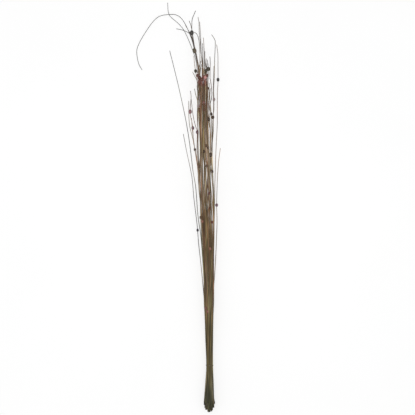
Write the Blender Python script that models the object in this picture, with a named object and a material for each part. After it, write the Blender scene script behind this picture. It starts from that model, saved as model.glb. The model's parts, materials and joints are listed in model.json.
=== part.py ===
"""A bunch of dried ting ting: long thin palm ribs with small beads on them, tied near their cut ends.

The bunch lies on the plane Z = 0 with its ribs along +Y and its cut ends towards -Y. Each rib is one
solid, with its beads swelling out of it. Lengths are in millimetres and become metres in the objects.
The layout is worked out with the lowest cut end at Y = 0, then moved so that the middle of the
bunch's footprint is the origin.
"""
import math
import random
from dataclasses import dataclass

import bpy
import numpy as np
from mathutils import kdtree

MM = 0.001
SEED = 117

# Ribs
BUTT_RADIUS = 1.8
NECK_RADIUS = 1.1
TIP_RADIUS = 0.9
TAPER_POWERS = (3.0, 6.0)
SIDES = 6
FACET_HEIGHT = math.cos(math.pi / SIDES)
CUT_END_LENGTH = 28
CUT_END_DOME = 21
CUT_END_BLUNTNESS = 3.5
CUT_END_RAGGED = 9

# Packing at the tie: rows of ribs, each row set half a pitch aside from the next, in a circle
PITCH = 2.5
ROW_RISE = PITCH * math.sqrt(3) / 2
PACK_RADIUS_IN_PITCHES = math.sqrt(13)
TOP_ROW = 4
EDGE_COLUMN = 3.5
ROUNDING = 1e-6
NECK_Y = 137
NECK_HEIGHT = 15

# Beads
BEAD_RADIUS = 3.5
BEAD_HALF_LENGTH = 4.6
BEAD_ANGLES = (-90, -48, 0, 48, 90)
BEAD_SIZES = {
    (-44, 1060): 1.7, (-52, 1111): 1.6, (-41, 1000): 1.2, (-3, 1005): 1.35, (-10, 1001): 1.3,
    (25, 976): 1.25, (-12, 980): 1.2, (-7, 986): 1.1, (-18, 983): 1.15, (-29, 979): 1.3,
    (-23, 973): 1.2, (-31, 967): 1.1, (-19, 965): 1.1, (-24, 959): 1.1, (13, 916): 1.1,
    (-57, 881): 1.45, (-49, 833): 1.2, (-36, 821): 1.2, (-31, 886): 1.25, (3, 754): 1.4,
    (10, 864): 1.2, (5, 874): 1.1, (-3, 858): 1.3, (21, 607): 1.15,
}
BIGGEST_BEAD = BEAD_RADIUS * max(BEAD_SIZES.values())
LOWEST_BEADED_ROW = 1
ROW_PREFERENCE = 2.0
BEADS_APART = 45
BEAD_TO_TIP = 15

# Tie
WIRE_RADIUS = 0.35
TIE_TURNS = 3
TIE_PITCH = 1.0
TIE_TAIL = 7
TIE_POINTS_A_TURN = 22

# How the ribs lie: they leave the packing, then drop onto each other and the plane.
# SAG is the sharpest downward curvature of a sagging rib, per millimetre.
LEAVE_Y = 180
LIE_Y = 290
FREE_Y = 330
LEAD = 60
PACKED_RINGS = (42, 81, 137, 180, 217, 253, 290)
STEP = 1.25
GAP = 0.6
TIE_GAP = 0.3
SAG = 0.0003
RING_TOLERANCE = 0.45

# Free ribs: they wander a little between the edges of the bunch. They are evenly spread at EVEN_Y, lie
# in CLUMPS across its width at CLUMPED_Y, and are spread again from CLOSED_Y to their tips.
STATION_STEP = 115
WANDER = 1.0
SHORTEST_TIP = 960
LONGEST_TIP = 1080
TIP_CROWDING = 0.6
MIXING = 0.06
EVEN_Y = 590
CLUMPED_Y = 680
CLOSED_Y = 775
CLUMPS = ((0.0, 0.29), (0.45, 1.0))

# Edges of the dense part, at the middles of its outer ribs: height, left, right
BUNCH_EDGES = (
    (0, -15.3, 14.6),
    (28, -15.3, 14.6),
    (42, -14.2, 12.0),
    (81, -11.5, 10.9),
    (137, -8.35, 9.15),
    (181, -9.8, 9.0),
    (210, -11.1, 9.3),
    (269, -12.8, 9.9),
    (330, -15.8, 12.2),
    (387, -16.2, 14.2),
    (475, -21.0, 12.5),
    (534, -23.5, 11.0),
    (622, -28.0, 8.5),
    (681, -30.5, 3.0),
    (720, -29.5, 2.0),
    (769, -27.5, 1.0),
    (843, -29.5, -1.0),
    (886, -29.0, -3.5),
    (930, -27.5, -6.0),
    (985, -31.5, -5.0),
    (1033, -27.0, -6.5),
    (1100, -25.0, -14.0),
)

# Ribs that stand out from the bunch: row and column in the packing, taper, route and beads
STRAY_RIBS = {
    "arched": (-2, -1, 3.0, (
        (-32, 989), (-37, 1028), (-44, 1060), (-50, 1086), (-61, 1116), (-74, 1143), (-88, 1160),
        (-106, 1167), (-128, 1166), (-146, 1162), (-166, 1146), (-191, 1109), (-207, 1082),
        (-214, 1059), (-209, 1025), (-198, 1004)), ((-44, 1060),)),
    "kinked": (-3, -1.5, 2.2, (
        (-35, 989), (-39, 1028), (-50, 1063), (-63, 1095), (-76, 1122), (-93, 1142), (-110, 1156),
        (-118, 1165), (-122, 1180), (-123, 1202)), ()),
    "side_tip": (-1, -0.5, 2.2, (
        (-30, 989), (-36, 1028), (-42, 1060), (-49, 1086), (-59, 1110), (-73, 1118), (-86, 1122),
        (-98, 1124)), ()),
    "tall_beaded": (1, -1.5, 2.2, (
        (-28, 980), (-34, 1022), (-41, 1060), (-49, 1092), (-52, 1111), (-52, 1124), (-52, 1142),
        (-48, 1156), (-41, 1176)), ((-52, 1111),)),
    "small_fork": (0, -1, 1.6, (
        (-26, 969), (-32, 1016), (-41, 1056), (-47, 1089), (-53, 1122), (-55, 1135), (-60, 1147)), ()),
    "middle_tall": (-2, 0, 3.0, (
        (-19, 989), (-22, 1033), (-25, 1055), (-27, 1086), (-30, 1110), (-31, 1142), (-34, 1160)), ()),
    "middle_bent": (1, -0.5, 2.2, (
        (-28, 1010), (-28, 1045), (-29, 1063), (-30, 1080), (-33, 1098), (-38, 1109), (-45, 1113)), ()),
    "middle_short": (1, 0.5, 3.0, (
        (-10, 1001), (-12, 1018), (-15, 1048), (-16, 1069), (-18, 1098)), ((-10, 1001),)),
    "right_bent": (1, 3.5, 3.0, (
        (12, 500), (13, 600), (12, 651), (8, 705), (6, 769), (9, 816), (10, 864), (13, 892),
        (13, 916), (12, 940), (14, 983), (15, 1033), (17, 1086), (6, 1107)),
        ((8, 705), (10, 864), (13, 916))),
    "right_tall": (-1, 3.5, 0.6, (
        (12, 475), (14, 560), (15, 622), (16, 681), (18, 739), (20, 792), (23, 854), (23, 922),
        (25, 976), (25, 1039), (21, 1079)), ((25, 976),)),
    "right_wavy": (2, 3, 2.2, (
        (11, 534), (10, 640), (5, 710), (3, 754), (4, 807), (-3, 858), (1, 899), (7, 931),
        (5, 957), (1, 986), (2, 1025), (1, 1042)),
        ((3, 754), (-3, 858))),
    "right_inner": (-2, 3, 1.6, (
        (-1, 640), (-1, 695), (2, 725), (2, 757), (3, 786), (3, 816), (1, 857), (-2, 886), (-1, 916),
        (-2, 951)), ()),
    "right_beaded": (0, 2, 2.2, (
        (12, 560), (10, 690), (8, 760), (7, 813), (6, 842), (5, 874), (1, 913), (-1, 945),
        (-1, 965)), ((5, 874),)),
    "right_low": (0, 3, 0.6, (
        (14, 387), (18, 451), (21, 525), (22, 562), (21, 607), (22, 658), (24, 693), (26, 727),
        (29, 753), (32, 774)), ((21, 607),)),
    "left_long": (0, -3, 3.5, (
        (-26, 520), (-32, 560), (-36, 598), (-40, 654), (-49, 710), (-56, 770), (-67, 842),
        (-76, 886), (-90, 951), (-106, 1016), (-117, 1061)), ()),
    "left_low": (-1, -3.5, 1.6, (
        (-21, 387), (-26, 440), (-32, 493), (-35, 533), (-40, 581), (-46, 628), (-51, 684),
        (-58, 722), (-67, 763), (-77, 816)), ((-35, 533),)),
    "left_plain": (-2, -3, 1.6, (
        (-27, 622), (-31, 681), (-36, 731), (-41, 761), (-46, 784), (-51, 810), (-59, 844),
        (-61, 878), (-61, 913)), ()),
    "left_three_beads": (1, -3.5, 2.2, (
        (-25, 622), (-30, 681), (-36, 725), (-43, 770), (-48, 801), (-49, 833), (-57, 881),
        (-56, 901), (-54, 925), (-56, 942)), ((-43, 770), (-49, 833), (-57, 881))),
    "left_beaded": (-1, -2.5, 2.2, (
        (-26, 622), (-32, 690), (-36, 728), (-37, 757), (-36, 821), (-42, 842), (-49, 875),
        (-51, 895), (-54, 919)), ((-36, 821),)),
    "left_inner": (2, -3, 1.6, (
        (-27, 640), (-31, 690), (-33, 728), (-34, 786), (-33, 816), (-35, 845), (-36, 875), (-35, 904),
        (-35, 933), (-37, 957)), ()),
    "left_short": (0, -2, 1.6, ((-31, 886), (-36, 916), (-40, 928), (-44, 948)), ((-31, 886),)),
    "left_upper": (-1, -1.5, 1.2, (
        (-34, 939), (-39, 986), (-41, 1000), (-44, 1022), (-46, 1045)), ((-41, 1000),)),
    "left_twig": (-2, -2, 1.2, ((-34, 957), (-38, 975), (-44, 986), (-50, 998)), ()),
    "arched_short": (-3, -0.5, 2.2, (
        (-27, 975), (-33, 1018), (-40, 1048), (-46, 1078), (-53, 1103), (-63, 1121), (-71, 1136)), ()),
    "middle_pair": (0, 0, 3.0, (
        (-21, 1005), (-24, 1048), (-25, 1077), (-26, 1098), (-28, 1127), (-29, 1145)), ()),
    "middle_inner": (-1, 0.5, 3.0, ((-18, 1001), (-20, 1030), (-20, 1060), (-21, 1082)), ()),
    "right_pair": (1, 2.5, 2.2, (
        (10, 690), (8, 735), (8, 780), (11, 830), (11, 866), (12, 905), (11, 940), (12, 985), (13, 1015)), ()),
    "right_between": (-1, 2.5, 2.2, (
        (2, 690), (5, 730), (6, 775), (7, 830), (3, 880), (1, 920), (3, 950)), ()),
    "left_pair": (1, -2.5, 1.6, (
        (-26, 622), (-30, 678), (-35, 718), (-40, 750), (-44, 778), (-48, 806), (-51, 835),
        (-53, 862)), ()),
}

# Beads of the dense part, each on the rib that runs nearest to it
DENSE_BEADS = (
    (-7, 295), (-10, 305),
    (-3, 1005), (-7, 986), (-12, 980), (-18, 983), (-35, 985), (-29, 979), (-23, 973), (-31, 967),
    (-19, 965), (-24, 959), (-16, 957), (-5, 949), (-16, 763), (-4, 774), (-10, 781),
    (-17, 906), (-15, 885), (-1, 642), (2, 598), (7, 557), (2, 479),
    (-33, 897), (-30, 920), (-30, 721), (-8, 721), (-26, 571), (-21, 559),
)

RIB_COLOURS = {
    "olive_rib": (0.115, 0.095, 0.052),
    "brown_rib": (0.120, 0.080, 0.048),
    "red_brown_rib": (0.150, 0.075, 0.050),
}
TIE_COLOUR = (0.10, 0.075, 0.045)


@dataclass
class Rib:
    """One rib: its place in the packing, its plan route above the packing, and what lies on it."""
    name: str
    row: int
    column: float
    route: list
    beads: list
    butt_y: float
    taper: float
    tone: str
    stray: bool


def smooth(stations, values, at):
    """Reads a cubic curve through the values that never overshoots them."""
    x = np.asarray(stations, float)
    y = np.asarray(values, float)
    step = np.diff(x)
    rise = np.diff(y) / step
    slope = np.empty(len(x))
    slope[0] = rise[0]
    slope[-1] = rise[-1]
    product = rise[:-1] * rise[1:]
    total = np.where(product > 0, rise[:-1] + rise[1:], 1)
    slope[1:-1] = np.where(product > 0, 2 * product / total, 0)
    at = np.clip(np.asarray(at, float), x[0], x[-1])
    i = np.clip(np.searchsorted(x, at) - 1, 0, len(step) - 1)
    t = (at - x[i]) / step[i]
    start = (1 + 2 * t) * (1 - t) ** 2 * y[i] + t * (1 - t) ** 2 * step[i] * slope[i]
    end = t * t * (3 - 2 * t) * y[i + 1] + t * t * (t - 1) * step[i] * slope[i + 1]
    return start + end


def ease(t):
    """Rises smoothly from 0 to 1."""
    t = np.clip(t, 0, 1)
    return t * t * (3 - 2 * t)


def edges(y):
    """Left and right edge of the dense part at a height."""
    height, left, right = zip(*BUNCH_EDGES)
    return smooth(height, left, y), smooth(height, right, y)


def across(y, share):
    """The place across the dense part, with 0 at its left edge and 1 at its right."""
    left, right = edges(y)
    return left + (right - left) * share


def spread(y):
    """How far apart the ribs are at a height, as a multiple of their pitch in the packing."""
    left, right = edges(y)
    return (right - left) / (2 * EDGE_COLUMN * PITCH)


def neck_share(column):
    """The place across the packing, with 0 at its left edge and 1 at its right."""
    return (column + EDGE_COLUMN) / (2 * EDGE_COLUMN)


def packed_places():
    """Row and column of each rib where the bunch is tied, from the lowest row up."""
    places = []
    for row in range(-TOP_ROW, TOP_ROW + 1):
        shift = 0.5 if row % 2 else 0.0
        for whole in range(-TOP_ROW, TOP_ROW + 1):
            column = whole + shift
            if math.hypot(column, row * ROW_RISE / PITCH) <= PACK_RADIUS_IN_PITCHES + ROUNDING:
                places.append((row, column))
    return places


def stations_between(low, high):
    """Evenly spaced heights above the low one, up to the high one."""
    count = max(1, round((high - low) / STATION_STEP))
    return [low + (high - low) * i / count for i in range(1, count + 1)]


def wandering_route(column, shares, heights, chance):
    """Plan points from where the rib is free to its tip, passing through shares of the width."""
    tip = heights[-1]
    points = []
    for y in stations_between(FREE_Y, tip):
        share = smooth((FREE_Y, *heights), (neck_share(column), *shares), y)
        points.append((float(across(y, share)) + chance.gauss(0, WANDER), y))
    return points


def stray_route(column, own_points, chance):
    """Runs with the dense part up to the rib's own points, then follows them."""
    x, y = own_points[0]
    left, right = edges(y)
    share = float((x - left) / (right - left))
    if y - FREE_Y < STATION_STEP:
        return list(own_points)
    return wandering_route(column, (share,), (y,), chance)[:-1] + list(own_points)


def spread_shares(places, clumps, chance):
    """A share of the width for each place, in a slightly mixed order, evenly over the clumps."""
    keys = [neck_share(column) + chance.gauss(0, MIXING) for _, column in places]
    order = sorted(range(len(places)), key=keys.__getitem__)
    widths = [high - low for low, high in clumps]
    filled = np.concatenate(([0], np.cumsum(widths))) / sum(widths)
    shares = [0.0] * len(places)
    for rank, index in enumerate(order):
        part = (rank + 0.5) / len(places)
        clump = min(int(np.searchsorted(filled, part)) - 1, len(clumps) - 1)
        low, high = clumps[clump]
        inside = (part - filled[clump]) / (filled[clump + 1] - filled[clump])
        shares[index] = float(low + (high - low) * inside)
    return shares


def lay_out_ribs():
    """All the ribs in plan, from the lowest row of the packing up."""
    chance = random.Random(SEED)
    strays = {}
    for row, column, taper, points, beads in STRAY_RIBS.values():
        strays[row, column] = (stray_route(column, points, chance), list(beads), taper)
    places = packed_places()
    plain = [place for place in places if place not in strays]
    low = spread_shares(plain, ((0.0, 1.0),), chance)
    middle = spread_shares(plain, CLUMPS, chance)
    top = spread_shares(plain, ((0.0, 1.0),), chance)
    lengths = [(i + 0.5) / len(plain) for i in range(len(plain))]
    chance.shuffle(lengths)
    ribs = []
    for number, (row, column) in enumerate(places, 1):
        out = math.hypot(column, row * ROW_RISE / PITCH) / PACK_RADIUS_IN_PITCHES
        butt_y = CUT_END_DOME * out ** CUT_END_BLUNTNESS + chance.uniform(0, CUT_END_RAGGED)
        tone = chance.choice(list(RIB_COLOURS))
        stray = (row, column) in strays
        if stray:
            route, beads, taper = strays[row, column]
        else:
            i = plain.index((row, column))
            tip = LONGEST_TIP - (LONGEST_TIP - SHORTEST_TIP) * lengths[i] ** TIP_CROWDING
            shares = (low[i], middle[i], top[i], top[i])
            route = wandering_route(column, shares, (EVEN_Y, CLUMPED_Y, CLOSED_Y, tip), chance)
            beads = []
            taper = chance.uniform(*TAPER_POWERS)
        ribs.append(Rib(f"rib_{number:02d}", row, column, route, beads, butt_y, taper, tone, stray))
    lowest = min(rib.butt_y for rib in ribs)
    for rib in ribs:
        rib.butt_y -= lowest
    return ribs


def put_on_dense_beads(ribs):
    """Gives each bead of the dense part to a near rib of the upper rows, and bends the rib to it."""
    for x, y in DENSE_BEADS:
        near = []
        for rib in ribs:
            if rib.stray or rib.row < LOWEST_BEADED_ROW or rib.route[-1][1] < y + BEAD_TO_TIP:
                continue
            if any(abs(y - other) < BEADS_APART for _, other in rib.beads):
                continue
            route_x, route_y = zip((across(y, neck_share(rib.column)), FREE_Y), *rib.route)
            aside = abs(float(np.interp(y, route_y, route_x)) - x)
            near.append((aside + ROW_PREFERENCE * (TOP_ROW - rib.row), rib.name, rib))
        rib = min(near)[2]
        if y > FREE_Y:
            kept = [p for p in rib.route[:-1] if abs(p[1] - y) > BEADS_APART or p in rib.beads]
            rib.route = sorted(kept + [(x, y), rib.route[-1]], key=lambda p: p[1])
        rib.beads.append((x, y))


def plan_of(rib):
    """Evenly spaced plan points along the rib, and the distance of each from its cut end."""
    packed_y = np.arange(rib.butt_y, FREE_Y, STEP)
    packed_x = across(packed_y, neck_share(rib.column))
    lead = [(float(across(y, neck_share(rib.column))), y) for y in (FREE_Y - LEAD, FREE_Y)]
    points = np.array(lead + rib.route, float)
    chord = np.concatenate(([0], np.cumsum(np.hypot(*np.diff(points, axis=0).T))))
    fine = np.arange(chord[1], chord[-1], STEP / 4)
    free_x = smooth(chord, points[:, 0], fine)
    free_y = smooth(chord, points[:, 1], fine)
    x = np.concatenate((packed_x, free_x, points[-1:, 0]))
    y = np.concatenate((packed_y, free_y, points[-1:, 1]))
    along = np.concatenate(([0], np.cumsum(np.hypot(np.diff(x), np.diff(y)))))
    even = np.linspace(0, along[-1], int(along[-1] / STEP) + 1)
    return np.interp(even, along, x), np.interp(even, along, y), even


def rib_radius(rib, y, along):
    """Thick at the cut end, held at the tie, then drawn out to a fine tip."""
    lower = NECK_RADIUS + (BUTT_RADIUS - NECK_RADIUS) * (spread(y) - 1) / (spread(0) - 1)
    neck_along = along[np.argmax(y >= NECK_Y)]
    free = np.clip((along - neck_along) / (along[-1] - neck_along), 0, 1)
    upper = NECK_RADIUS - (NECK_RADIUS - TIP_RADIUS) * free ** rib.taper
    return np.where(along < neck_along, lower, upper)


def bead_places(rib, x, y, along):
    """How far along the rib each of its beads sits, and its size as a multiple of the common one."""
    return [(along[np.argmin(np.hypot(x - bead[0], y - bead[1]))], BEAD_SIZES.get(bead, 1.0))
            for bead in rib.beads]


def with_beads(radius, along, beads):
    """The rib's radius with the swelling of each bead."""
    swollen = radius.copy()
    for place, size in beads:
        inside = np.clip(1 - ((along - place) / (size * BEAD_HALF_LENGTH)) ** 2, 0, 1)
        swollen = np.maximum(swollen, size * BEAD_RADIUS * np.sqrt(inside))
    return swollen


def packed_height(rib, y):
    """Height of the rib's middle where it is held by the packing."""
    flare_height = TOP_ROW * ROW_RISE * spread(0) + BUTT_RADIUS * FACET_HEIGHT
    middle = smooth((CUT_END_LENGTH, NECK_Y, LEAVE_Y), (flare_height, NECK_HEIGHT, NECK_HEIGHT), y)
    return middle + rib.row * ROW_RISE * spread(np.minimum(y, NECK_Y))


def dropped_height(x, y, radius, along, laid):
    """Height of a rib laid over the ribs below it, sagging between the places that hold it up."""
    need = radius * FACET_HEIGHT
    if laid:
        laid = np.array(laid)
        tree = kdtree.KDTree(len(laid))
        for i, point in enumerate(laid):
            tree.insert((point[0], point[1], 0), i)
        tree.balance()
        for i in range(len(x)):
            reach = radius[i] + BIGGEST_BEAD + GAP
            for _, j, distance in tree.find_range((x[i], y[i], 0), reach):
                clear = radius[i] + laid[j, 3] + GAP
                if distance < clear:
                    need[i] = max(need[i], laid[j, 2] + math.sqrt(clear ** 2 - distance ** 2))
    apart = along[:, None] - along[None, :]
    return np.max(need[None, :] - SAG / 2 * apart ** 2, axis=1)


def kept_rings(points, tolerance):
    """Indices of the points that a straight-sided rib needs to follow all of them."""
    keep = {0, len(points) - 1}
    open_spans = [(0, len(points) - 1)]
    while open_spans:
        low, high = open_spans.pop()
        if high - low < 2:
            continue
        chord = points[high, :3] - points[low, :3]
        share = (points[low + 1:high, :3] - points[low, :3]) @ chord / (chord @ chord)
        straight = points[low] + share[:, None] * (points[high] - points[low])
        off = np.linalg.norm(points[low + 1:high] - straight, axis=1)
        worst = int(np.argmax(off))
        if off[worst] > tolerance:
            middle = low + 1 + worst
            keep.add(middle)
            open_spans += [(low, middle), (middle, high)]
    return sorted(keep)


def ring_list(path, along, beads):
    """Rings of the rib's solid, each a middle and a radius: few on the rib, a set on each bead."""
    lower = path[:, 1] < FREE_Y
    packed = [0.0] + [float(np.interp(y, path[lower, 1], along[lower])) for y in PACKED_RINGS]
    clear = [i for i in range(len(along)) if along[i] >= packed[-1]
             and all(abs(along[i] - place) > size * BEAD_HALF_LENGTH + STEP for place, size in beads)]
    free = [along[clear[i]] for i in kept_rings(path[clear], RING_TOLERANCE)]
    rings = [(s, 0.0) for s in packed[:-1] + free]
    for place, size in beads:
        for angle in BEAD_ANGLES:
            a = math.radians(angle)
            rings.append((place + size * BEAD_HALF_LENGTH * math.sin(a), size * BEAD_RADIUS * math.cos(a)))
    rings.sort()
    result = []
    for station, swell in rings:
        x, y, z, radius = (np.interp(station, along, path[:, k]) for k in range(4))
        result.append((x, y, z, max(radius, swell)))
    return result


def principled(name, colour):
    material = bpy.data.materials.new(name)
    material.use_nodes = True
    shader = material.node_tree.nodes["Principled BSDF"]
    shader.inputs["Base Color"].default_value = (*colour, 1)
    shader.inputs["Roughness"].default_value = 0.7
    shader.inputs["Metallic"].default_value = 0.0
    return material


def swept(name, rings, twist, material):
    """A solid swept along the rings, with its object's origin at the first of them."""
    curve = bpy.data.curves.new(name, "CURVE")
    curve.dimensions = "3D"
    curve.twist_mode = twist
    curve.bevel_depth = MM
    curve.bevel_resolution = 1
    curve.use_fill_caps = True
    curve.materials.append(material)
    spline = curve.splines.new("POLY")
    spline.points.add(len(rings) - 1)
    start = rings[0]
    for point, (x, y, z, radius) in zip(spline.points, rings):
        point.co = ((x - start[0]) * MM, (y - start[1]) * MM, (z - start[2]) * MM, 1)
        point.radius = radius
    body = bpy.data.objects.new(name, curve)
    body.location = (start[0] * MM, start[1] * MM, start[2] * MM)
    bpy.context.scene.collection.objects.link(body)
    return body


def tie_rings():
    """A wire wound round the neck, its two ends running off under the bunch."""
    left, right = edges(NECK_Y)
    middle_x = float(left + right) / 2
    radius = PACK_RADIUS_IN_PITCHES * PITCH + NECK_RADIUS + TIE_GAP + WIRE_RADIUS
    low_y = NECK_Y - TIE_TURNS * TIE_PITCH / 2
    bottom = NECK_HEIGHT - radius
    rings = [(middle_x - TIE_TAIL, low_y, bottom, WIRE_RADIUS)]
    points = TIE_TURNS * TIE_POINTS_A_TURN
    for i in range(points + 1):
        turn = i / TIE_POINTS_A_TURN
        angle = 2 * math.pi * turn - math.pi / 2
        rings.append((middle_x + radius * math.cos(angle), low_y + TIE_PITCH * turn,
                      NECK_HEIGHT + radius * math.sin(angle), WIRE_RADIUS))
    rings.append((middle_x + TIE_TAIL, low_y + TIE_TURNS * TIE_PITCH, bottom, WIRE_RADIUS))
    return rings


def footprint_middle(solids):
    """The middle of the rectangle that the bunch covers on the plane."""
    low_x = min(x - r for rings in solids for x, _, _, r in rings)
    high_x = max(x + r for rings in solids for x, _, _, r in rings)
    low_y = min(y for rings in solids for _, y, _, _ in rings)
    high_y = max(y for rings in solids for _, y, _, _ in rings)
    return (low_x + high_x) / 2, (low_y + high_y) / 2


def moved(rings, origin):
    return [(x - origin[0], y - origin[1], z, radius) for x, y, z, radius in rings]


def main():
    for old in list(bpy.data.objects):
        bpy.data.objects.remove(old, do_unlink=True)
    ribs = lay_out_ribs()
    put_on_dense_beads(ribs)
    laid = []
    solids = []
    for rib in ribs:
        x, y, along = plan_of(rib)
        beads = bead_places(rib, x, y, along)
        thin = rib_radius(rib, y, along)
        radius = with_beads(thin, along, beads)
        pile = dropped_height(x, y, radius, along, laid)
        laid += list(zip(x, y, pile, radius))
        lying = ease((y - LEAVE_Y) / (LIE_Y - LEAVE_Y))
        height = packed_height(rib, y) * (1 - lying) + pile * lying
        solids.append(ring_list(np.column_stack((x, y, height, thin)), along, beads))
    origin = footprint_middle(solids)
    materials = {name: principled(name, colour) for name, colour in RIB_COLOURS.items()}
    for rib, rings in zip(ribs, solids):
        swept(rib.name, moved(rings, origin), "Z_UP", materials[rib.tone])
    swept("tie", moved(tie_rings(), origin), "MINIMUM", principled("tie_wire", TIE_COLOUR))


main()
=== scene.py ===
"""A tied bunch of dried ting ting, lying on a pale table and seen from straight above.

Run as a script. The frame gives each rib as a coarse solid; here each is drawn out again as a fine, slightly
flattened rib along the same middle line, with its dried seed heads, and the tie is wound again in round wire.
Lengths in the frame are metres; the settings below are metres too.
"""
import json
import math

import bmesh
import bpy
import numpy as np
from bpy.props import FloatProperty, FloatVectorProperty, IntProperty, PointerProperty
from mathutils import Matrix, Vector, noise

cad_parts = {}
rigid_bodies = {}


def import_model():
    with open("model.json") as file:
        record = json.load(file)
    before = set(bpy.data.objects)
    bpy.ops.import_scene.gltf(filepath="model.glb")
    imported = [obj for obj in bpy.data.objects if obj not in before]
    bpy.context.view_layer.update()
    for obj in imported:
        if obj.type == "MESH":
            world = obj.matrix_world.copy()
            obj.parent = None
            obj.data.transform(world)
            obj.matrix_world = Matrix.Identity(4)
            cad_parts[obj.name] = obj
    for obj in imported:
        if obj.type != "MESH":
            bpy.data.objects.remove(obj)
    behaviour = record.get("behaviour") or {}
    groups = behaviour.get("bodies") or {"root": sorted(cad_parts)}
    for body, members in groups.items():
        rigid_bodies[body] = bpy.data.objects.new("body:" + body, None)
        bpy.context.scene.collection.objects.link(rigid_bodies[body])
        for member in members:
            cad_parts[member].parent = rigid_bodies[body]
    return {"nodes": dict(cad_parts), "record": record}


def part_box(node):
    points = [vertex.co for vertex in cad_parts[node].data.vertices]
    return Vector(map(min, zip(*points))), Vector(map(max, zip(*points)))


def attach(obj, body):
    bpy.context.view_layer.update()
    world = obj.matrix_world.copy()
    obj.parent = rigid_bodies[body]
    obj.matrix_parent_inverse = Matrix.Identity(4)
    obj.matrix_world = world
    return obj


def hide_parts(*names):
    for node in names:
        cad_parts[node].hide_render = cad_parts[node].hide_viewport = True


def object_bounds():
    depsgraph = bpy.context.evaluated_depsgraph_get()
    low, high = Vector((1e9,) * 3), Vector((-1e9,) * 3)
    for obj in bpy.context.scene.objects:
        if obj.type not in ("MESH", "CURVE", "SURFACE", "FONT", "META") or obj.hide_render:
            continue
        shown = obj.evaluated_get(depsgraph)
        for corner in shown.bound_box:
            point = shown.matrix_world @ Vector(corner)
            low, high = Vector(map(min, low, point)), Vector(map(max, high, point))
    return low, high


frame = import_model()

bl_info = {
    "name": "Dried ting ting bunch",
    "version": (1, 0, 0),
    "blender": (4, 5, 0),
    "location": "View3D > Sidebar > Ting ting",
    "description": "Draws the ribs, seed heads and tie of a bunch of dried ting ting",
    "category": "Object",
}

FRAME_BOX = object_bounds()
MM = 0.001
PHOTO_WIDTH = 1.2201  # what the photograph shows from side to side, at the size of the bunch
PHOTO_MIDDLE = (0.0851, -0.0012)  # the place on the table that the middle of the photograph shows
SENSOR_WIDTH = 36.0  # of the camera, in millimetres
FAR_ENOUGH = 100.0  # the camera sees nothing further off than this
FLOOR_DROP = 0.0002  # the table top is this far below the ribs' undersides, so that they never share a face

# The coarse ribs of the frame
FRAME_SIDES = 6
MERGE = 0.00001
BEAD_FROM = 0.0028  # a ring of the frame with a larger radius than this is the middle of a seed head
BEAD_RINGS = 2  # rings of the frame from the middle of a seed head to either end of it

# The drawn ribs and the wire
LUMPS = 40  # in a metre of rib
LUMP_STEP = 3.1  # from one rib's place in the noise to the next one's
WANDERS = 0.5  # bends for each lump
WANDER_SHIFT = Vector((0, 0, 9))  # from the noise of the lumps to that of the bends
MAP_STEP = 3.7  # metres from one rib's map to the next one's, so that no two ribs have the same pattern
WIRE_SIDES = 12

# The noise that wrinkles the form of a seed head
WRINKLES = 2.2  # from its middle to its skin
WRINKLE_LEVELS = 3  # each finer than the last
WRINKLE_MEAN = 0.6
HEAD_STEP = 100  # between the places in the noise of two seed heads a metre apart

# The noise of the patterns on the surfaces
NOISE_LOW, NOISE_HIGH = 0.3, 0.7  # nearly all of a pattern lies between these two values
TONE_PLACE = (4, 8, 2)
BLEACHED_AND_HIGHLIT_PLACE = (1, 3, 7)
TONE_SHARES = (0.1, 0.9)  # how much of the rib's own tone the stretches show, from the least to the most
BLEACHED_AND_HIGHLIT_FROM, BLEACHED_AND_HIGHLIT_TO = 0.48, 0.66  # the values at which a stretch starts to bleach or take a painted highlight, and is palest
PALEST_STRAW_AND_HIGHLIGHT = 0.8  # how much of the straw colour, partly real bleaching and partly painted highlight, it then shows

# Sizes of the patterns on the surfaces, in millimetres
TONE_LENGTH = 200  # a stretch of rib that shows the rib's own tone
BLEACHED_AND_HIGHLIT_LENGTH = 1000 / 6  # a stretch that the sun has bleached, partly a painted highlight of lit ribs
SHADE_LENGTH = 1000 / 9  # a stretch with a shade of its own; its darkest are painted shade for the gaps between ribs
FIBRE_LENGTH = 1000 / 60  # before it gives way to the next
RIB_RADIUS = 1.2  # of the rib that the fibres are fitted round
BLOTCH = 2.381  # on a seed head's skin
WRINKLE = 0.9091  # on a seed head's skin
RUB = 1.4286  # a rubbed place on the wire
CLOUD = 333.33  # in the paint of the table top

# By the share of the way up the bunch: the colour of the ribs, and how strongly a rib's own tone and its
# bleached stretches, partly painted highlight, show
AGES = (
    (0.0, "cut_colour"), (0.06, "cut_colour"), (0.1, "low_colour"), (0.3, "lower_colour"),
    (0.5, "middle_colour"), (0.78, "top_colour"), (0.86, "grey_colour"), (1.0, "tip_colour"))
TONE_STRENGTH = ((0.0, 0.15), (0.14, 0.3), (0.35, 0.8), (0.8, 0.9), (0.86, 0.25), (1.0, 0.1))
BLEACHING_AND_HIGHLIGHT = (
    (0.0, 0.1), (0.2, 0.15), (0.48, 0.25), (0.53, 0.85), (0.66, 1.0), (0.71, 0.45), (0.76, 0.25), (1.0, 0.1))
# The name and the own tone of the ribs' material for each material slot of the record
RIB_TONES = {
    "olive_rib": ("dried_palm_rib_olive", "#6a673c"),
    "brown_rib": ("dried_palm_rib_brown", "#6e5538"),
    "red_brown_rib": ("dried_palm_rib_red", "#744a34"),
}

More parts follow.
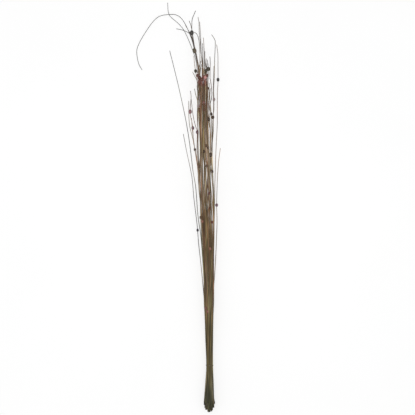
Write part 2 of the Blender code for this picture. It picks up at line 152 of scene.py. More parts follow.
# Where each seed head lies on the table, in millimetres, and the colour that it was dyed or dried to
BEAD_COLOURS = {
    "olive_brown": ((47, 459),),
    "olive_black": ((50, 399), (88, 404), (83, 400)),
    "grey_black": ((39, 510), (116, 375), (48, 169)),
    "brown_black": ((96, 273), (101, 263), (88, 257), (87, 173), (94, 153), (75, 162), (99, 104)),
    "purple_black": ((56, -68),),
    "dark_red": (
        (84, 385), (56, 384), (62, 378), (68, 372), (67, 358), (75, 356), (76, 284),
        (60, 285), (90, 41), (93, -3), (98, -44)),
    "maroon": ((60, 366), (74, 305), (73, 382), (84, -306), (81, -296)),
    "pink": ((79, 379),),
    "dusty_pink": ((104, 315), (58, 296), (61, 319), (72, 364)),
    "rose": ((34, 280),),
    "plum": ((42, 232), (55, 220), (112, 6)),
    "brown": ((61, 120), (83, 120), (65, -30), (81, 180), (86, 348)),
    "orange_red": ((70, -42), (93, -122)),
}
# Where red dye has rubbed off onto the ribs, how far it reaches, in millimetres, and how strong it is
RUBBED_DYE = ((71, 370, 21, 0.75), (78, 299, 16, 0.35))
DYE_CORE = 0.3  # it is at its strongest up to this share of its reach

# Where the ribs have weathered, in millimetres
MIDDLE_LINE = ((89.5, -300), (72, 400))  # of the bunch in plan, at its two ends
REACHES = (45, 60)  # how far off that line a rib must reach to weather at all, and to weather fully
LEAVES = (14, 22)  # how far off the line its weathering starts, and is complete
TIP_STRETCH = (15, 110)  # how far from any rib's tip its weathering is complete, and ends
TIP_WEATHERING = 0.3  # how strong that is beside the weathering of a rib that reaches out


def linear(hex_colour):
    """The linear colour of an sRGB hex value, by the curve of that standard."""
    parts = [int(hex_colour[i:i + 2], 16) / 255 for i in (1, 3, 5)]
    return tuple(p / 12.92 if p <= 0.04045 else ((p + 0.055) / 1.055) ** 2.4 for p in parts)


def colour_setting(name, about, hex_colour):
    """A colour that can be set, with its hex value as default."""
    return FloatVectorProperty(name=name, description=about, subtype="COLOR", size=3, min=0, max=1,
                               default=linear(hex_colour))


class TingTingRibSettings(bpy.types.PropertyGroup):
    sides: IntProperty(name="Sides", description="Faces round a rib", default=10, min=6, max=24)
    ring_step: FloatProperty(name="Ring step", description="Distance between the rings of a rib",
                             default=0.007, min=0.002, max=0.05, unit="LENGTH")
    flatness: FloatProperty(name="Flatness", description="Height of a rib's section over its width",
                            default=0.87, min=0.5, max=1.0, subtype="FACTOR")
    lumpiness: FloatProperty(name="Lumpiness", description="How much a rib's thickness varies along it",
                             default=0.05, min=0.0, max=0.3, subtype="FACTOR")
    wander: FloatProperty(name="Wander", description="How far a rib strays from its smooth line",
                          default=0.00012, min=0.0, max=0.002, unit="LENGTH")
    tip_share: FloatProperty(name="Tip", description="Thickness of a rib's tip over that of the coarse rib",
                             default=0.82, min=0.3, max=1.0, subtype="FACTOR")
    fibre_width: FloatProperty(name="Fibre width", description="Width of the fibres on a rib's surface",
                               default=0.00025, min=0.00005, max=0.002, unit="LENGTH")
    # Its dark end is also painted shade, standing for the shadowed gaps between the ribs
    unevenness_and_gap_shade: FloatProperty(name="Unevenness", default=6.2, min=0.0, max=10.0,
                              description="How far the ribs differ in shade, as a power of e")
    cut_colour: colour_setting("Cut", "Colour of the ribs at their cut ends", "#2f311f")
    low_colour: colour_setting("Low", "Colour of the ribs at the tie", "#4d4629")
    lower_colour: colour_setting("Lower", "Colour of the ribs a third of the way up", "#4f422b")
    middle_colour: colour_setting("Middle", "Colour of the ribs half way up", "#655037")
    top_colour: colour_setting("Top", "Colour of the ribs three quarters of the way up", "#694d36")
    grey_colour: colour_setting("Grey", "Colour of the ribs that reach past the rest", "#54473a")
    tip_colour: colour_setting("Tip", "Colour of the thinnest tips", "#5a4d40")
    # The straw colour is partly real bleaching and partly a painted highlight of the ribs' lit sides
    straw_and_highlight_colour: colour_setting("Straw", "Colour of the stretches that have bleached", "#b3a48f")
    weather_colour: colour_setting("Weather", "Colour of the ribs that stand out in the weather", "#444749")
    weathering: FloatProperty(name="Weathering", default=0.75, min=0.0, max=1.0, subtype="FACTOR",
                              description="How far the ribs that stand out turn to that colour")
    dye_colour: colour_setting("Dye", "Colour of the dye rubbed off from seed heads", "#6b352e")
    pith_colour: colour_setting("Pith", "Colour of the fibres on a cut end", "#7d6b4c")


class TingTingBeadSettings(bpy.types.PropertyGroup):
    fineness: IntProperty(name="Fineness", description="How often a seed head's surface is divided",
                          default=4, min=2, max=5)
    flatness: FloatProperty(name="Flatness", description="Height of a seed head over its width",
                            default=0.9, min=0.5, max=1.0, subtype="FACTOR")
    wrinkle_depth: FloatProperty(name="Wrinkle depth", description="Depth of the wrinkles of the dried skin",
                                 default=0.05, min=0.0, max=0.3, subtype="FACTOR")
    olive_brown: colour_setting("Olive brown", "Seed heads left to dry olive brown", "#524a36")
    olive_black: colour_setting("Olive black", "Seed heads left to dry nearly black", "#3b3629")
    grey_black: colour_setting("Grey black", "Seed heads left to dry grey, nearly black", "#3a3734")
    brown_black: colour_setting("Brown black", "Seed heads left to dry brown, nearly black", "#3a291b")
    purple_black: colour_setting("Purple black", "Seed heads dyed purple, nearly black", "#3a353d")
    dark_red: colour_setting("Dark red", "Seed heads dyed dark red", "#583026")
    maroon: colour_setting("Maroon", "Seed heads dyed maroon", "#714840")
    pink: colour_setting("Pink", "Seed heads dyed pink", "#bd8783")
    dusty_pink: colour_setting("Dusty pink", "Seed heads whose pink dye has faded", "#877675")
    rose: colour_setting("Rose", "Seed heads dyed a dull rose", "#876465")
    plum: colour_setting("Plum", "Seed heads dyed plum", "#6b505a")
    brown: colour_setting("Brown", "Undyed brown seed heads", "#55402f")
    orange_red: colour_setting("Orange red", "Seed heads dyed orange red", "#85594a")


class TingTingTieSettings(bpy.types.PropertyGroup):
    turns: IntProperty(name="Turns", description="Turns of wire round the bunch", default=3, min=1, max=12)
    wire: FloatProperty(name="Wire", description="Thickness of the wire", default=0.0007, min=0.0003,
                        max=0.003, unit="LENGTH")
    tail: FloatProperty(name="Tail", description="Length of each loose end of the wire", default=0.007,
                        min=0.001, max=0.02, unit="LENGTH")
    steps: IntProperty(name="Steps", description="Rings of wire in each turn", default=64, min=16, max=128)
    colour: colour_setting("Colour", "Brown coating of the wire", "#5a4f36")


class TingTingStageSettings(bpy.types.PropertyGroup):
    floor_size: FloatProperty(name="Floor", description="Side of the square table top", default=30.0,
                              min=2.0, max=100.0, unit="LENGTH")
    floor_colour: colour_setting("Floor colour", "Colour of the table top", "#f7f7f7")
    sky_strength: FloatProperty(name="Room light", description="Strength of the light from all round",
                                default=0.32, min=0.0, max=5.0)
    lamp_power: FloatProperty(name="Lamp power", description="Power of the softbox over the table",
                              default=372.0, min=0.0, max=5000.0, unit="POWER")
    lamp_height: FloatProperty(name="Lamp height", description="Height of the softbox over the table",
                               default=7.0, min=1.0, max=30.0, unit="LENGTH")
    lamp_size: FloatProperty(name="Lamp size", description="Side of the square softbox", default=0.5,
                             min=0.1, max=10.0, unit="LENGTH")
    camera_height: FloatProperty(name="Camera height", description="Height of the camera over the table",
                                 default=6.0, min=1.0, max=20.0, unit="LENGTH")


def feed(tree, node, inputs):
    """Gives a node a value or a linked socket for each input."""
    for key, value in inputs.items():
        if isinstance(value, bpy.types.NodeSocket):
            tree.links.new(value, node.inputs[key])
        else:
            node.inputs[key].default_value = value


def add(tree, kind, inputs=None, stops=None, **settings):
    """Adds a node: its settings, a value or a linked socket for each input, and the stops of a ramp."""
    made = tree.nodes.new(kind)
    for name, value in settings.items():
        setattr(made, name, value)
    feed(tree, made, inputs or {})
    for place, colour in stops or ():
        ramp = made.color_ramp.elements
        if place <= 0:
            ramp[0].color = (*colour, 1)
        elif place >= 1:
            ramp[-1].color = (*colour, 1)
        else:
            ramp.new(place).color = (*colour, 1)
    return made


def new_material(name):
    """An empty material with its shader, ready for a pattern."""
    material = bpy.data.materials.new(name)
    material.use_nodes = True
    tree = material.node_tree
    tree.nodes.clear()
    shader = add(tree, "ShaderNodeBsdfPrincipled")
    add(tree, "ShaderNodeOutputMaterial", {"Surface": shader.outputs["BSDF"]})
    return material, tree, shader


def dried_palm_rib(name, settings, tone):
    """Dried palm midrib: a matt, woody strip with fine fibres along it.

    It dries olive where it is thick and redder where it is thin. Each rib and each stretch of it dries to its
    own shade and some bleach to straw, which is what keeps the ribs apart to the eye. The darkest shades are
    also painted shade for the gaps between ribs, and the straw stretches partly a painted highlight of their
    lit sides.
    Red dye has rubbed off onto them round the thickest clusters of seed heads.
    """
    material, tree, shader = new_material(name)
    place = add(tree, "ShaderNodeTexCoord").outputs["Object"]
    unrolled = add(tree, "ShaderNodeUVMap", uv_map="along").outputs["UV"]

    # The colour at this height, with some of the rib's own tone in each stretch. A stretch of any pattern goes
    # all the way round the rib.
    height = add(tree, "ShaderNodeSeparateXYZ", {"Vector": place}).outputs["Y"]
    share_up = add(tree, "ShaderNodeMapRange", {
        "Value": height, "From Min": FRAME_BOX[0].y, "From Max": FRAME_BOX[1].y}).outputs["Result"]
    age = add(tree, "ShaderNodeValToRGB", {"Fac": share_up},
              stops=[(at, getattr(settings, colour)) for at, colour in AGES])
    tone_stretch = add(tree, "ShaderNodeMapping", {
        "Vector": unrolled, "Location": TONE_PLACE, "Scale": (0, 1 / (TONE_LENGTH * MM), 1)})
    leaning = add(tree, "ShaderNodeTexNoise", {
        "Vector": tone_stretch.outputs["Vector"], "Scale": 1.0, "Detail": 1.0})
    share = add(tree, "ShaderNodeMapRange", {
        "Value": leaning.outputs["Fac"], "From Min": NOISE_LOW, "From Max": NOISE_HIGH,
        "To Min": TONE_SHARES[0], "To Max": TONE_SHARES[1]})
    ripe = add(tree, "ShaderNodeValToRGB", {"Fac": share_up},
               stops=[(at, (strength,) * 3) for at, strength in TONE_STRENGTH])
    strength = add(tree, "ShaderNodeMath", {0: share.outputs["Result"], 1: ripe.outputs["Color"]},
                   operation="MULTIPLY")
    toned = add(tree, "ShaderNodeMix", {0: strength.outputs[0], 6: age.outputs["Color"], 7: (*tone, 1)},
                data_type="RGBA")

    # Stretches that the sun has bleached to straw; the pale stretches are also a painted highlight that stands
    # for the lit, glossy sides of the ribs
    sunny_and_highlit_stretch = add(tree, "ShaderNodeMapping", {
        "Vector": unrolled, "Location": BLEACHED_AND_HIGHLIT_PLACE, "Scale": (0, 1 / (BLEACHED_AND_HIGHLIT_LENGTH * MM), 1)})
    faded = add(tree, "ShaderNodeTexNoise", {
        "Vector": sunny_and_highlit_stretch.outputs["Vector"], "Scale": 1.0, "Detail": 1.0})
    fading_and_highlight = add(tree, "ShaderNodeMapRange", {
        "Value": faded.outputs["Fac"], "From Min": BLEACHED_AND_HIGHLIT_FROM, "From Max": BLEACHED_AND_HIGHLIT_TO, "To Max": PALEST_STRAW_AND_HIGHLIGHT})
    exposed_and_highlit = add(tree, "ShaderNodeValToRGB", {"Fac": share_up},
                  stops=[(at, (strength,) * 3) for at, strength in BLEACHING_AND_HIGHLIGHT])
    straw = add(tree, "ShaderNodeMath", {0: fading_and_highlight.outputs["Result"], 1: exposed_and_highlit.outputs["Color"]},
                operation="MULTIPLY")
    bleached = add(tree, "ShaderNodeMix", {
        0: straw.outputs[0], 6: toned.outputs[2], 7: (*settings.straw_and_highlight_colour, 1)}, data_type="RGBA")

    # Grey where the rib stands out in the weather, and red where dye has rubbed off on it
    exposure = add(tree, "ShaderNodeAttribute", attribute_name="weathered").outputs["Fac"]
    weathered = add(tree, "ShaderNodeMath", {0: exposure, 1: settings.weathering}, operation="MULTIPLY")
    colour = add(tree, "ShaderNodeMix", {
        0: weathered.outputs[0], 6: bleached.outputs[2], 7: (*settings.weather_colour, 1)},
        data_type="RGBA").outputs[2]
    level = add(tree, "ShaderNodeVectorMath", {0: place, 1: (1, 1, 0)}, operation="MULTIPLY").outputs[0]
    for x, y, reach, strongest in RUBBED_DYE:
        away = add(tree, "ShaderNodeVectorMath", {0: level, 1: (x * MM, y * MM, 0)}, operation="DISTANCE")
        stain = add(tree, "ShaderNodeMapRange", {
            "Value": away.outputs["Value"], "From Min": DYE_CORE * reach * MM, "From Max": reach * MM,
            "To Min": strongest, "To Max": 0.0}, interpolation_type="SMOOTHSTEP")
        colour = add(tree, "ShaderNodeMix", {
            0: stain.outputs["Result"], 6: colour, 7: (*settings.dye_colour, 1)}, data_type="RGBA").outputs[2]

    # A shade of its own for each stretch, by a power of e; beside the rib's own uneven tone, its darkest
    # stretches are painted shade that stands for the shadowed gaps between ribs
    shade_stretch = add(tree, "ShaderNodeMapping", {
        "Vector": unrolled, "Scale": (0, 1 / (SHADE_LENGTH * MM), 1)})
    patches_and_gap_shade = add(tree, "ShaderNodeTexNoise", {
        "Vector": shade_stretch.outputs["Vector"], "Scale": 1.0, "Detail": 2.0, "Roughness": 0.5})
    power = add(tree, "ShaderNodeMapRange", {
        "Value": patches_and_gap_shade.outputs["Fac"],
        "To Min": -settings.unevenness_and_gap_shade / 2, "To Max": settings.unevenness_and_gap_shade / 2})
    shade = add(tree, "ShaderNodeMath", {0: power.outputs["Result"]}, operation="EXPONENT")
    shaded = add(tree, "ShaderNodeVectorMath", {0: colour, "Scale": shade.outputs[0]}, operation="SCALE")

    # Fibres, as many round the rib as their width allows
    fibres_round = 2 * math.pi * RIB_RADIUS * MM / settings.fibre_width
    fibre = add(tree, "ShaderNodeMapping", {
        "Vector": unrolled, "Scale": (fibres_round, 1 / (FIBRE_LENGTH * MM), 1.0)})
    strands = add(tree, "ShaderNodeTexNoise", {
        "Vector": fibre.outputs["Vector"], "Scale": 1.0, "Detail": 3.0, "Roughness": 0.6})
    streak = add(tree, "ShaderNodeMapRange", {
        "Value": strands.outputs["Fac"], "From Min": NOISE_LOW, "From Max": NOISE_HIGH,
        "To Min": 0.78, "To Max": 1.2})
    streaked = add(tree, "ShaderNodeVectorMath", {0: shaded.outputs[0], "Scale": streak.outputs["Result"]},
                   operation="SCALE")
    rough = add(tree, "ShaderNodeMapRange", {"Value": strands.outputs["Fac"], "To Min": 0.5, "To Max": 0.78})
    relief = add(tree, "ShaderNodeBump", {
        "Height": strands.outputs["Fac"], "Strength": 0.5, "Distance": 0.08 * MM})
    feed(tree, shader, {
        "Base Color": streaked.outputs[0], "Roughness": rough.outputs["Result"],
        "Normal": relief.outputs["Normal"], "IOR": 1.45, "Specular IOR Level": 0.35})
    return material


def cut_pith(settings):
    """The cut end of a rib: open fibre ends round a paler pith, matt and rough from the knife."""
    material, tree, shader = new_material("cut_palm_pith")
    place = add(tree, "ShaderNodeTexCoord").outputs["Object"]
    grain = add(tree, "ShaderNodeTexVoronoi", {"Vector": place, "Scale": 1 / settings.fibre_width})
    shade = add(tree, "ShaderNodeMapRange", {
        "Value": grain.outputs["Distance"], "From Max": 0.6, "To Min": 1.1, "To Max": 0.55})
    colour = add(tree, "ShaderNodeVectorMath", {
        0: (*settings.pith_colour,), "Scale": shade.outputs["Result"]}, operation="SCALE")
    feed(tree, shader, {"Base Color": colour.outputs[0], "Roughness": 0.9})
    return material


def dried_seed_head(name, colour):
    """Dried seed head: a leathery skin, shrunk to fine wrinkles, with a low wax gloss on the high places."""
    material, tree, shader = new_material(name)
    place = add(tree, "ShaderNodeTexCoord").outputs["Object"]
    blotch = add(tree, "ShaderNodeTexNoise", {"Vector": place, "Scale": 1 / (BLOTCH * MM), "Detail": 3.0})
    shade = add(tree, "ShaderNodeMapRange", {
        "Value": blotch.outputs["Fac"], "From Min": NOISE_LOW, "From Max": NOISE_HIGH,
        "To Min": 0.7, "To Max": 1.3})
    skin = add(tree, "ShaderNodeVectorMath", {0: tuple(colour), "Scale": shade.outputs["Result"]},
               operation="SCALE")
    wrinkles = add(tree, "ShaderNodeTexVoronoi", {"Vector": place, "Scale": 1 / (WRINKLE * MM)},
                   feature="SMOOTH_F1")
    rough = add(tree, "ShaderNodeMapRange", {
        "Value": wrinkles.outputs["Distance"], "To Min": 0.38, "To Max": 0.75})
    relief = add(tree, "ShaderNodeBump", {
        "Height": wrinkles.outputs["Distance"], "Strength": 0.6, "Distance": 0.25 * MM}, invert=True)
    feed(tree, shader, {
        "Base Color": skin.outputs[0], "Roughness": rough.outputs["Result"],
        "Normal": relief.outputs["Normal"], "Specular IOR Level": 0.45})
    return material


def coated_wire(settings):
    """Binding wire in a brown lacquer: a soft gloss, dulled where it has been handled."""
    material, tree, shader = new_material("lacquered_binding_wire")
    place = add(tree, "ShaderNodeTexCoord").outputs["Object"]
    rubbed = add(tree, "ShaderNodeTexNoise", {"Vector": place, "Scale": 1 / (RUB * MM), "Detail": 4.0})
    shade = add(tree, "ShaderNodeMapRange", {
        "Value": rubbed.outputs["Fac"], "From Min": NOISE_LOW, "From Max": NOISE_HIGH,
        "To Min": 0.75, "To Max": 1.3})
    lacquer = add(tree, "ShaderNodeVectorMath", {
        0: (*settings.colour,), "Scale": shade.outputs["Result"]}, operation="SCALE")
    rough = add(tree, "ShaderNodeMapRange", {"Value": rubbed.outputs["Fac"], "To Min": 0.3, "To Max": 0.6})
    feed(tree, shader, {
        "Base Color": lacquer.outputs[0], "Roughness": rough.outputs["Result"],
        "Coat Weight": 0.3, "Coat Roughness": 0.25})
    return material


def table_top(settings):
    """Pale matt table top with a barely visible unevenness of its paint."""
    material, tree, shader = new_material("matt_painted_board")
    place = add(tree, "ShaderNodeTexCoord").outputs["Object"]
    cloud = add(tree, "ShaderNodeTexNoise", {"Vector": place, "Scale": 1 / (CLOUD * MM), "Detail": 2.0})
    shade = add(tree, "ShaderNodeMapRange", {"Value": cloud.outputs["Fac"], "To Min": 0.985, "To Max": 1.01})
    paint = add(tree, "ShaderNodeVectorMath", {
        0: (*settings.floor_colour,), "Scale": shade.outputs["Result"]}, operation="SCALE")
    feed(tree, shader, {"Base Color": paint.outputs[0], "Roughness": 0.85, "Specular IOR Level": 0.2})
    return material


def rib_nodes():
    """The names of the frame's ribs, from the lowest row of the bunch up."""
    return sorted(name for name in frame["nodes"] if name.startswith("rib_"))


def frame_rings(node):
    """The rings of a rib of the frame from its cut end on: the middle and the radius of each."""
    work = bmesh.new()
    work.from_mesh(frame["nodes"][node].data)
    bmesh.ops.remove_doubles(work, verts=work.verts, dist=MERGE)
    work.verts.index_update()
    ring = sorted(work.verts, key=lambda v: v.co.y)[:FRAME_SIDES]
    seen = set(ring)
    rings = []
    while ring:
        middle = sum((v.co for v in ring), Vector()) / len(ring)
        rings.append((*middle, sum((v.co - middle).length for v in ring) / len(ring)))
        beyond = {edge.other_vert(v) for v in ring for edge in v.link_edges} - seen
        ring = sorted(beyond, key=lambda v: v.index)
        seen.update(ring)
    work.free()
    return np.array(rings)


def bead_rings(rings):
    """The index of each ring that is the middle of a seed head."""
    radius = rings[:, 3]
    return [i for i in range(1, len(rings) - 1)
            if radius[i] > BEAD_FROM and radius[i] >= radius[i - 1] and radius[i] > radius[i + 1]]


def distances(line):
    """How far along a line each of its points is."""
    return np.concatenate(([0], np.cumsum(np.linalg.norm(np.diff(line, axis=0), axis=1))))


def smooth(stations, values, at):
    """Reads a cubic curve through the values that never overshoots them."""
    step = np.diff(stations)
    rise = np.diff(values) / step
    slope = np.concatenate((rise[:1], np.zeros(len(rise) - 1), rise[-1:]))
    product = rise[:-1] * rise[1:]
    total = np.where(product > 0, rise[:-1] + rise[1:], 1)
    slope[1:-1] = np.where(product > 0, 2 * product / total, 0)
    i = np.clip(np.searchsorted(stations, at) - 1, 0, len(step) - 1)
    t = (at - stations[i]) / step[i]
    start = (1 + 2 * t) * (1 - t) ** 2 * values[i] + t * (1 - t) ** 2 * step[i] * slope[i]
    end = t * t * (3 - 2 * t) * values[i + 1] + t * t * (t - 1) * step[i] * slope[i + 1]
    return start + end


def rib_line(rings, settings, number):
    """Fine points along a rib: where it runs, how thick it is, and how far along each point is."""
    chord = distances(rings[:, :3])
    count = max(2, round(chord[-1] / settings.ring_step))
    along = np.linspace(0, chord[-1], count + 1)
    line = np.column_stack([smooth(chord, rings[:, k], along) for k in range(3)])
    swollen = {i + j for i in bead_rings(rings) for j in range(1 - BEAD_RINGS, BEAD_RINGS)}
    bare = [i for i in range(len(rings)) if i not in swollen]
    radius = np.interp(along, chord[bare], rings[bare, 3])
    radius *= 1 - (1 - settings.tip_share) * (along / along[-1]) ** 2
    for k, distance in enumerate(along):
        seat = Vector((distance * LUMPS, number * LUMP_STEP, 0))
        radius[k] *= 1 + settings.lumpiness * (noise.noise(seat) - 0.5)
        line[k, 0] += settings.wander * noise.noise(seat * WANDERS + WANDER_SHIFT)
    return line, radius, along


def share_between(value, low, high):
    """How far a value is on its way from low to high, from 0 to 1."""
    return np.clip((value - low) / (high - low), 0, 1)


def set_weathering(mesh, along, sides):
    """Notes on each point of a rib how far it has weathered, from 0 to 1."""
    places = np.empty(len(mesh.vertices) * 3)
    mesh.vertices.foreach_get("co", places)
    x, y = places.reshape(-1, 3).T[:2] / MM
    (low_x, low_y), (high_x, high_y) = MIDDLE_LINE
    off = np.abs(x - low_x - (y - low_y) * (high_x - low_x) / (high_y - low_y))
    outside = share_between(off.max(), *REACHES) * share_between(off, *LEAVES)
    to_tip = np.repeat(along[-1] - along, sides) / MM
    weathered = np.maximum(outside, TIP_WEATHERING * (1 - share_between(to_tip, *TIP_STRETCH)))
    mesh.attributes.new("weathered", "FLOAT", "POINT").data.foreach_set("value", weathered)


def way_ahead(line, k):
    """The direction of a line at one of its points."""
    before = Vector(line[max(k - 1, 0)])
    after = Vector(line[min(k + 1, len(line) - 1)])
    return (after - before).normalized()


def circle_place(spot, side, ahead, width, height):
    """The matrix that puts a unit circle round a spot, square to the way ahead, its width to the side."""
    turn = Matrix((side, side.cross(ahead), -ahead)).transposed().to_4x4()
    return Matrix.Translation(spot) @ turn @ Matrix.Diagonal((width, height, 1, 1))


def ring_place(line, k, width, height):
    """The matrix that puts a unit circle round a point of the line, square to it, its wide side level."""
    ahead = way_ahead(line, k)
    return circle_place(line[k], ahead.cross(Vector((0, 0, 1))).normalized(), ahead, width, height)


def draw_rod(work, places, sides):
    """Draws a closed rod from a circle at the first place through all the rest, and gives back its rings."""
    ring = bmesh.ops.create_circle(work, cap_ends=True, radius=1, segments=sides, matrix=places[0])["verts"]
    edges = work.edges[:]
    rings = [ring]
    for last, place in zip(places, places[1:]):
        made = bmesh.ops.extrude_edge_only(work, edges=edges)["geom"]
        ring = [v for v in made if isinstance(v, bmesh.types.BMVert)]
        edges = [edge for edge in made if isinstance(edge, bmesh.types.BMEdge)
                 and all(v in ring for v in edge.verts)]
        bmesh.ops.transform(work, matrix=place @ last.inverted(), verts=ring)
        rings.append(ring)
    bmesh.ops.contextual_create(work, geom=edges)
    return rings


def draw_rib(work, line, radius, along, shift, settings):
    """Draws a rib as a rod whose wide side lies level, and lays on it a map of its turns and metres."""
    layer = work.loops.layers.uv.new("along")
    places = [ring_place(line, k, width, width * settings.flatness) for k, width in enumerate(radius)]
    rings = draw_rod(work, places, settings.sides)
    spots = {v: (k / settings.sides, along[0]) for k, v in enumerate(rings[0])}
    for last, ring, distance in zip(rings, rings[1:], along[1:]):
        for v in ring:
            under = next(e.other_vert(v) for e in v.link_edges if e.other_vert(v) in last)
            spots[v] = (spots[under][0], distance)
    for face in work.faces:
        if len(face.verts) == 4:
            furthest = max(spots[loop.vert][0] for loop in face.loops)
            for loop in face.loops:
                turn, distance = spots[loop.vert]
                seam = 1 if furthest - turn > 0.5 else 0  # a face from the last turn on to the first
                loop[layer].uv = (turn + seam, distance + shift)


class TINGTING_OT_draw_ribs(bpy.types.Operator):
    """Draw each rib of the bunch out of a circle, along the middle line of the frame's rib"""
    bl_idname = "tingting.draw_ribs"
    bl_label = "Draw the ribs"

    def execute(self, context):
        settings = context.scene.ting_ting_ribs
        tones = {item["node"]: item["material_slot"] for item in frame["record"]["subparts"]}
        materials = {slot: dried_palm_rib(name, settings, linear(tone))
                     for slot, (name, tone) in RIB_TONES.items()}
        pith = cut_pith(settings)
        for number, node in enumerate(rib_nodes()):
            line, radius, along = rib_line(frame_rings(node), settings, number)
            work = bmesh.new()
            draw_rib(work, line, radius, along, number * MAP_STEP, settings)
            bmesh.ops.recalc_face_normals(work, faces=work.faces)
            for face in work.faces:
                face.smooth = len(face.verts) == 4
                face.material_index = 0 if len(face.verts) == 4 else 1
            mesh = bpy.data.meshes.new(f"{node}_drawn")
            work.to_mesh(mesh)
            work.free()
            set_weathering(mesh, along, settings.sides)
            mesh.materials.append(materials[tones[node]])
            mesh.materials.append(pith)
            piece = bpy.data.objects.new(f"{node}_drawn", mesh)
            context.scene.collection.objects.link(piece)
            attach(piece, "root")
            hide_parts(node)
        return {"FINISHED"}


class TINGTING_OT_set_beads(bpy.types.Operator):
    """Set the dried seed heads on their ribs"""
    bl_idname = "tingting.set_beads"
    bl_label = "Set the seed heads"

    def execute(self, context):
        settings = context.scene.ting_ting_beads
        materials = {name: dried_seed_head(f"dried_seed_head_{name}", getattr(settings, name))
                     for name in BEAD_COLOURS}
        for node in rib_nodes():
            rings = frame_rings(node)
            mesh = bpy.data.objects[f"{node}_drawn"].data
            for i in bead_rings(rings):
                middle = rings[i, :3]
                colour = nearest_colour(middle[0] / MM, middle[1] / MM)
                if materials[colour].name not in mesh.materials:
                    mesh.materials.append(materials[colour])
                self.grow(mesh, rings, i, mesh.materials.find(materials[colour].name), settings)
        return {"FINISHED"}

    def grow(self, mesh, rings, i, slot, settings):
        """Adds one seed head round the ring to the rib's mesh."""
        bottom, middle, top = (rings[i + step, :3] for step in (-BEAD_RINGS, 0, BEAD_RINGS))
        radius, half = rings[i, 3], np.linalg.norm(top - bottom) / 2
        place = ring_place((bottom, middle, top), 1, radius, radius * settings.flatness)
        place = place @ Matrix.Diagonal((1, 1, half, 1))
        work = bmesh.new()
        work.from_mesh(mesh)
        fresh = bmesh.ops.create_icosphere(work, subdivisions=settings.fineness, radius=1)["verts"]
        for v in fresh:
            seat = v.co * WRINKLES + Vector(middle) * HEAD_STEP
            v.co *= 1 + settings.wrinkle_depth * (noise.turbulence(seat, WRINKLE_LEVELS, True) - WRINKLE_MEAN)
        bmesh.ops.transform(work, matrix=place, verts=fresh)
        faces = list({face for v in fresh for face in v.link_faces})
        bmesh.ops.recalc_face_normals(work, faces=faces)
        for face in faces:
            face.material_index = slot
            face.smooth = True
        work.to_mesh(mesh)
        work.free()


def nearest_colour(x, y):
    """The colour of the seed head that lies nearest to a place on the table, in millimetres."""
    return min((math.hypot(x - head_x, y - head_y), colour)
               for colour, group in BEAD_COLOURS.items() for head_x, head_y in group)[1]


class TINGTING_OT_wind_tie(bpy.types.Operator):
    """Wind the binding wire round the pinch of the bunch"""
    bl_idname = "tingting.wind_tie"
    bl_label = "Wind the tie"

    def execute(self, context):
        settings = context.scene.ting_ting_tie
        low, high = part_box("tie")
        wire = settings.wire / 2
        radius = (high.x - low.x) / 2 - wire
        middle = (low + high) / 2
        pitch = (high.y - low.y - settings.wire) / settings.turns
        start = low.y + wire
        points = [(middle.x - settings.tail, start, middle.z - radius)]
        for i in range(settings.turns * settings.steps + 1):
            turn = i / settings.steps
            angle = 2 * math.pi * turn - math.pi / 2
            points.append((middle.x + radius * math.cos(angle), start + pitch * turn,
                           middle.z + radius * math.sin(angle)))
        points.append((middle.x + settings.tail, start + pitch * settings.turns, middle.z - radius))
        work = bmesh.new()
        draw_rod(work, wire_places(np.array(points), wire), WIRE_SIDES)
        bmesh.ops.recalc_face_normals(work, faces=work.faces)
        for face in work.faces:
            face.smooth = len(face.verts) == 4
        mesh = bpy.data.meshes.new("tie_wound")
        work.to_mesh(mesh)
        work.free()
        mesh.materials.append(coated_wire(settings))
        piece = bpy.data.objects.new("tie_wound", mesh)
        context.scene.collection.objects.link(piece)
        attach(piece, "root")
        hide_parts("tie")
        return {"FINISHED"}


def wire_places(line, radius):
    """The places of the rings of a wire, which turn only as far as its bends turn them."""
    ahead = Vector(line[1] - line[0]).normalized()
    side = ahead.orthogonal().normalized()
    places = []
    for k, spot in enumerate(line):
        last, ahead = ahead, way_ahead(line, k)
        side.rotate(last.rotation_difference(ahead))
        places.append(circle_place(spot, side, ahead, radius, radius))
    return places


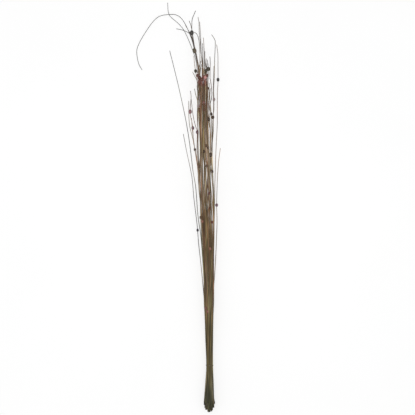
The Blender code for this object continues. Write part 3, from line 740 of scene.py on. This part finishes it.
class TINGTING_OT_set_stage(bpy.types.Operator):
    """Set the table top, the soft light and the camera over the bunch"""
    bl_idname = "tingting.set_stage"
    bl_label = "Set the stage"

    def execute(self, context):
        settings = context.scene.ting_ting_stage
        scene = context.scene
        centre = (FRAME_BOX[0] + FRAME_BOX[1]) / 2
        work = bmesh.new()
        bmesh.ops.create_grid(work, x_segments=1, y_segments=1, size=settings.floor_size / 2)
        bmesh.ops.translate(work, vec=(0, 0, -FLOOR_DROP), verts=work.verts)
        mesh = bpy.data.meshes.new("table_top")
        work.to_mesh(mesh)
        work.free()
        mesh.materials.append(table_top(settings))
        floor = bpy.data.objects.new("table_top", mesh)
        scene.collection.objects.link(floor)

        world = bpy.data.worlds.new("soft_room")
        world.use_nodes = True
        sky = world.node_tree.nodes["Background"]
        feed(world.node_tree, sky, {"Color": (1, 1, 1, 1), "Strength": settings.sky_strength})
        scene.world = world
        light = bpy.data.lights.new("softbox_above", "AREA")
        light.energy = settings.lamp_power
        light.size = settings.lamp_size
        lamp = bpy.data.objects.new("softbox_above", light)
        lamp.location = (centre.x, centre.y, settings.lamp_height)
        scene.collection.objects.link(lamp)

        data = bpy.data.cameras.new("camera_above")
        data.sensor_width = SENSOR_WIDTH
        data.lens = data.sensor_width * settings.camera_height / PHOTO_WIDTH
        data.clip_end = FAR_ENOUGH
        camera = bpy.data.objects.new("camera_above", data)
        camera.location = (*PHOTO_MIDDLE, settings.camera_height)
        scene.collection.objects.link(camera)
        scene.camera = camera
        scene.view_settings.view_transform = "Standard"
        return {"FINISHED"}


class TINGTING_PT_bunch(bpy.types.Panel):
    """Settings and steps of the ting ting bunch"""
    bl_idname = "TINGTING_PT_bunch"
    bl_label = "Dried ting ting"
    bl_space_type = "VIEW_3D"
    bl_region_type = "UI"
    bl_category = "Ting ting"

    def draw(self, context):
        for step, group in STEPS:
            box = self.layout.box()
            settings = getattr(context.scene, group)
            for name in settings.__annotations__:
                box.prop(settings, name)
            box.operator(step.bl_idname)


GROUPS = {
    "ting_ting_ribs": TingTingRibSettings,
    "ting_ting_beads": TingTingBeadSettings,
    "ting_ting_tie": TingTingTieSettings,
    "ting_ting_stage": TingTingStageSettings,
}
STEPS = (
    (TINGTING_OT_draw_ribs, "ting_ting_ribs"),
    (TINGTING_OT_set_beads, "ting_ting_beads"),
    (TINGTING_OT_wind_tie, "ting_ting_tie"),
    (TINGTING_OT_set_stage, "ting_ting_stage"),
)
CLASSES = (*GROUPS.values(), *(step for step, _ in STEPS), TINGTING_PT_bunch)


def register():
    for item in CLASSES:
        bpy.utils.register_class(item)
    for name, group in GROUPS.items():
        setattr(bpy.types.Scene, name, PointerProperty(type=group))


def unregister():
    for name in GROUPS:
        delattr(bpy.types.Scene, name)
    for item in reversed(CLASSES):
        bpy.utils.unregister_class(item)


def main():
    register()
    bpy.ops.tingting.draw_ribs()
    bpy.ops.tingting.set_beads()
    bpy.ops.tingting.wind_tie()
    bpy.ops.tingting.set_stage()


if __name__ == "__main__":
    main()
